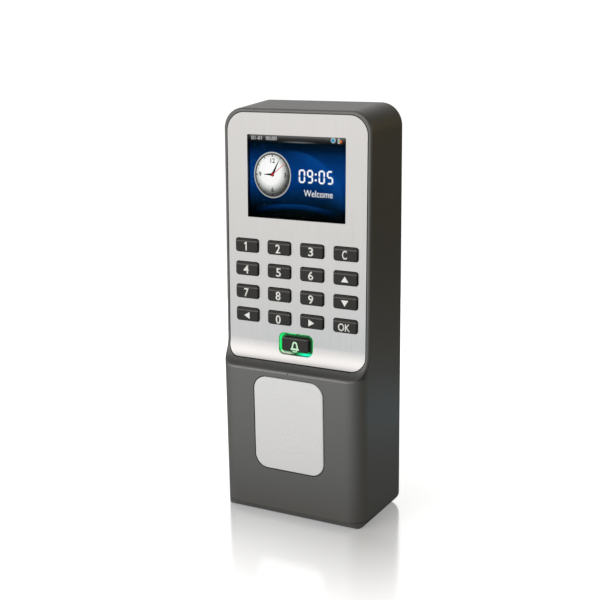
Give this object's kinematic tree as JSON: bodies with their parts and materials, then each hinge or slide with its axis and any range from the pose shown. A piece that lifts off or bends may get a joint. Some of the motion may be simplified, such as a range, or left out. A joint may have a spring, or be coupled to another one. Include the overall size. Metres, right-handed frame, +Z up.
{
  "type": "wall-mounted access control terminal",
  "caption": "Upright charcoal wall terminal with a flared brushed metal faceplate, colour display, numeric keypad, lit doorbell key and a pale reader pad on a deeper lower section.",
  "frame": {"origin": "centre of the wall plate's back face, on the wall plane and at the centre of its screw pattern", "axes": "+Z up the housing's length, +Y into the wall, +X to the right as seen from the front"},
  "size_m": [0.076, 0.0397, 0.1879],
  "materials": {
    "housing_plastic": "fine moulded texture, charcoal",
    "brushed_aluminium": "vertical brushing, clear lacquer",
    "adhesive_film": "thin double-sided film",
    "lens_glass": "polished",
    "lcd_glass": "lit colour display",
    "white_plastic": "smooth",
    "black_plastic": "fine moulded",
    "flex_film": "polyimide film",
    "circuit_board": "solder mask over copper",
    "copper": "bare copper",
    "keycap_plastic": "satin moulded",
    "green_light_pipe": "translucent, lit green",
    "led_epoxy": "clear epoxy",
    "silicone": "matt",
    "pad_plastic": "fine moulded texture, pale grey",
    "plated_steel": "zinc plated sheet",
    "screw_steel": "plated, machined",
    "jack_shield": "tinned, drawn",
    "terminal_green": "moulded",
    "relay_blue": "moulded"
  },
  "bodies": {
    "wall_plate": {"wall_plate": "plated_steel"},
    "terminal": {"backup_cell": "jack_shield", "board_screws": "screw_steel", "buzzer": "black_plastic", "cell_holder": "black_plastic", "display_frame": "black_plastic", "display_lens": "lens_glass", "display_ribbon": "flex_film", "doorbell_leds": "led_epoxy", "doorbell_light_ring": "green_light_pipe", "faceplate": "brushed_aluminium", "faceplate_adhesive": "adhesive_film", "front_housing": "housing_plastic", "keypad_board": "circuit_board", "keypad_mat": "silicone", "lcd_backlight": "white_plastic", "lcd_panel": "lcd_glass", "lock_relay": "relay_blue", "main_board": "circuit_board", "network_jack": "jack_shield", "processor_chips": "black_plastic", "reader_board": "circuit_board", "reader_coil": "copper", "reader_pad": "pad_plastic", "rear_cover": "housing_plastic", "reset_switch": "black_plastic", "security_screw": "screw_steel", "shell_screws": "screw_steel", "small_screws": "screw_steel", "speaker": "black_plastic", "tamper_switch": "black_plastic", "terminal_blocks": "terminal_green", "terminal_screws": "screw_steel"},
    "key_0": {"key_0": "keycap_plastic"},
    "key_1": {"key_1": "keycap_plastic"},
    "key_2": {"key_2": "keycap_plastic"},
    "key_3": {"key_3": "keycap_plastic"},
    "key_4": {"key_4": "keycap_plastic"},
    "key_5": {"key_5": "keycap_plastic"},
    "key_6": {"key_6": "keycap_plastic"},
    "key_7": {"key_7": "keycap_plastic"},
    "key_8": {"key_8": "keycap_plastic"},
    "key_9": {"key_9": "keycap_plastic"},
    "key_clear": {"key_clear": "keycap_plastic"},
    "key_down": {"key_down": "keycap_plastic"},
    "key_left": {"key_left": "keycap_plastic"},
    "key_ok": {"key_ok": "keycap_plastic"},
    "key_right": {"key_right": "keycap_plastic"},
    "key_up": {"key_up": "keycap_plastic"},
    "doorbell_key": {"doorbell_key": "keycap_plastic"},
    "reset_button": {"reset_button": "white_plastic"},
    "tamper_plunger": {"tamper_plunger": "white_plastic"}
  },
  "joints": [
    {"name": "terminal_lift", "type": "slide", "parent": "wall_plate", "child": "terminal", "axis": [0, 0, 1], "range_m": [0, 0.0055]},
    {"name": "key_0_press", "type": "slide", "parent": "terminal", "child": "key_0", "axis": [0, 0.9998, -0.022], "range_m": [0, 0.0008], "stiffness_N_per_m": 800, "springref_m": -0.0006},
    {"name": "key_1_press", "type": "slide", "parent": "terminal", "child": "key_1", "axis": [0, 0.9998, -0.022], "range_m": [0, 0.0008], "stiffness_N_per_m": 800, "springref_m": -0.0006},
    {"name": "key_2_press", "type": "slide", "parent": "terminal", "child": "key_2", "axis": [0, 0.9998, -0.022], "range_m": [0, 0.0008], "stiffness_N_per_m": 800, "springref_m": -0.0006},
    {"name": "key_3_press", "type": "slide", "parent": "terminal", "child": "key_3", "axis": [0, 0.9998, -0.022], "range_m": [0, 0.0008], "stiffness_N_per_m": 800, "springref_m": -0.0006},
    {"name": "key_4_press", "type": "slide", "parent": "terminal", "child": "key_4", "axis": [0, 0.9998, -0.022], "range_m": [0, 0.0008], "stiffness_N_per_m": 800, "springref_m": -0.0006},
    {"name": "key_5_press", "type": "slide", "parent": "terminal", "child": "key_5", "axis": [0, 0.9998, -0.022], "range_m": [0, 0.0008], "stiffness_N_per_m": 800, "springref_m": -0.0006},
    {"name": "key_6_press", "type": "slide", "parent": "terminal", "child": "key_6", "axis": [0, 0.9998, -0.022], "range_m": [0, 0.0008], "stiffness_N_per_m": 800, "springref_m": -0.0006},
    {"name": "key_7_press", "type": "slide", "parent": "terminal", "child": "key_7", "axis": [0, 0.9998, -0.022], "range_m": [0, 0.0008], "stiffness_N_per_m": 800, "springref_m": -0.0006},
    {"name": "key_8_press", "type": "slide", "parent": "terminal", "child": "key_8", "axis": [0, 0.9998, -0.022], "range_m": [0, 0.0008], "stiffness_N_per_m": 800, "springref_m": -0.0006},
    {"name": "key_9_press", "type": "slide", "parent": "terminal", "child": "key_9", "axis": [0, 0.9998, -0.022], "range_m": [0, 0.0008], "stiffness_N_per_m": 800, "springref_m": -0.0006},
    {"name": "key_clear_press", "type": "slide", "parent": "terminal", "child": "key_clear", "axis": [0, 0.9998, -0.022], "range_m": [0, 0.0008], "stiffness_N_per_m": 800, "springref_m": -0.0006},
    {"name": "key_down_press", "type": "slide", "parent": "terminal", "child": "key_down", "axis": [0, 0.9998, -0.022], "range_m": [0, 0.0008], "stiffness_N_per_m": 800, "springref_m": -0.0006},
    {"name": "key_left_press", "type": "slide", "parent": "terminal", "child": "key_left", "axis": [0, 0.9998, -0.022], "range_m": [0, 0.0008], "stiffness_N_per_m": 800, "springref_m": -0.0006},
    {"name": "key_ok_press", "type": "slide", "parent": "terminal", "child": "key_ok", "axis": [0, 0.9998, -0.022], "range_m": [0, 0.0008], "stiffness_N_per_m": 800, "springref_m": -0.0006},
    {"name": "key_right_press", "type": "slide", "parent": "terminal", "child": "key_right", "axis": [0, 0.9998, -0.022], "range_m": [0, 0.0008], "stiffness_N_per_m": 800, "springref_m": -0.0006},
    {"name": "key_up_press", "type": "slide", "parent": "terminal", "child": "key_up", "axis": [0, 0.9998, -0.022], "range_m": [0, 0.0008], "stiffness_N_per_m": 800, "springref_m": -0.0006},
    {"name": "doorbell_key_press", "type": "slide", "parent": "terminal", "child": "doorbell_key", "axis": [0, 0.9998, -0.022], "range_m": [0, 0.0008], "stiffness_N_per_m": 800, "springref_m": -0.0006},
    {"name": "reset_button_press", "type": "slide", "parent": "terminal", "child": "reset_button", "axis": [0, -1, 0], "range_m": [0, 0.0004], "stiffness_N_per_m": 1500, "springref_m": -0.0006},
    {"name": "tamper_plunger_press", "type": "slide", "parent": "terminal", "child": "tamper_plunger", "axis": [0, -1, 0], "range_m": [0, 0.0006], "stiffness_N_per_m": 300, "springref_m": -0.0015}
  ]
}
